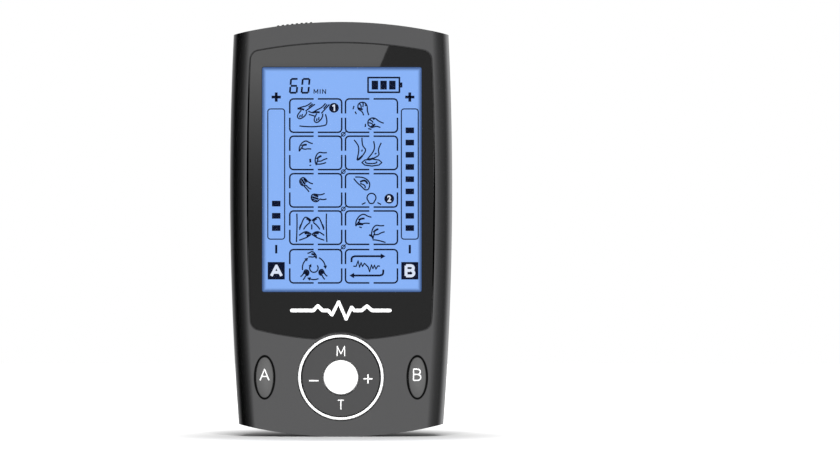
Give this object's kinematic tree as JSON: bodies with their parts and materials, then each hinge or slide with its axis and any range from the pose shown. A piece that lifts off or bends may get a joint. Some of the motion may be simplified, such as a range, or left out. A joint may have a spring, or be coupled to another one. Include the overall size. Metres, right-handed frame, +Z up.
{
  "type": "tens unit",
  "caption": "Hand-held two-channel nerve stimulator with a backlit screen, a round direction pad, oval channel keys, a sliding power switch and lead sockets.",
  "frame": {"origin": "middle of the foot of the unit's box, stood upright with its sockets at the top", "axes": "+X to the right seen from the front, -Y out of the screen, +Y out of the flat back, +Z up the length towards the sockets"},
  "size_m": [0.06, 0.0124, 0.1119],
  "materials": {
    "front_plastic": "satin moulded ABS, grey",
    "back_plastic": "fine spark-textured moulded ABS, dark grey",
    "window_acrylic": "polished acrylic with a black print behind it",
    "screw_steel": "zinc-plated steel",
    "holder_plastic": "white moulded polycarbonate",
    "lcd_panel": "blue backlit liquid crystal panel",
    "lcd_ink": "dark liquid crystal segments",
    "light_guide": "clear acrylic light guide",
    "led_body": "side-firing LED",
    "zebra_rubber": "layered conductive rubber",
    "pcb_laminate": "glass-epoxy board with green solder mask",
    "key_silicone": "moulded silicone",
    "carbon_pill": "carbon-filled silicone",
    "white_trim": "white moulded ABS",
    "white_print": "white pad-printed ink",
    "pad_plastic": "satin moulded ABS, dark grey",
    "channel_key_plastic": "satin moulded ABS, mid grey",
    "knob_plastic": "black moulded acetal",
    "switch_steel": "tinned steel can",
    "jack_plastic": "black moulded nylon",
    "contact_metal": "tinned brass",
    "usb_steel": "nickel-plated steel",
    "battery_foil": "aluminium laminate pouch",
    "foam": "black foam tape",
    "lead_insulation": "PVC insulation",
    "connector_plastic": "cream nylon",
    "ferrite": "ferrite core with taped winding",
    "capacitor_can": "sleeved aluminium can",
    "chip_epoxy": "moulded epoxy",
    "crystal_can": "nickel-plated can",
    "clear_acrylic": "clear acrylic with a low-glare face"
  },
  "bodies": {
    "housing": {"front_shell": "front_plastic", "back_shell": "back_plastic", "display_window": "window_acrylic", "shell_screws": "screw_steel", "lcd_holder": "holder_plastic", "lcd_glass": "lcd_panel", "light_guide": "light_guide", "backlight_leds": "led_body", "zebra_strip": "zebra_rubber", "main_pcb": "pcb_laminate", "key_mat": "key_silicone", "carbon_pills": "carbon_pill", "pad_ring": "white_trim", "power_switch_body": "switch_steel", "output_jack_a": "jack_plastic", "output_jack_b": "jack_plastic", "jack_contacts": "contact_metal", "usb_socket": "usb_steel", "usb_tongue": "jack_plastic", "battery": "battery_foil", "battery_pad": "foam", "battery_leads": "lead_insulation", "battery_connector": "connector_plastic", "output_transformers": "ferrite", "smoothing_capacitors": "capacitor_can", "microcontroller": "chip_epoxy", "driver_chips": "chip_epoxy", "crystal": "crystal_can"},
    "button_a": {"button_a": "channel_key_plastic"},
    "button_b": {"button_b": "channel_key_plastic"},
    "centre_button": {"centre_button": "white_trim"},
    "pad_collar": {"pad_collar": "key_silicone"},
    "direction_pad": {"direction_pad": "pad_plastic"},
    "power_slider": {"power_knob": "knob_plastic", "power_lever": "knob_plastic"}
  },
  "joints": [
    {"name": "button_a_press", "type": "slide", "parent": "housing", "child": "button_a", "axis": [0, 1, 0], "range_m": [0, 0.0005], "stiffness_N_per_m": 1500},
    {"name": "button_b_press", "type": "slide", "parent": "housing", "child": "button_b", "axis": [0, 1, 0], "range_m": [0, 0.0005], "stiffness_N_per_m": 1500},
    {"name": "centre_button_press", "type": "slide", "parent": "housing", "child": "centre_button", "axis": [0, 1, 0], "range_m": [0, 0.0005], "stiffness_N_per_m": 1500},
    {"name": "pad_tilt_up_down", "type": "hinge", "parent": "housing", "child": "pad_collar", "pos_m": [0, -0.0035, 0.016], "axis": [1, 0, 0], "range_deg": [-2.2, 2.2], "stiffness_Nm_per_rad": 0.25},
    {"name": "pad_tilt_left_right", "type": "hinge", "parent": "pad_collar", "child": "direction_pad", "pos_m": [0, -0.0035, 0.016], "axis": [0, 0, 1], "range_deg": [-2.2, 2.2], "stiffness_Nm_per_rad": 0.25},
    {"name": "power_slide", "type": "slide", "parent": "housing", "child": "power_slider", "axis": [1, 0, 0], "range_m": [0, 0.002]}
  ]
}
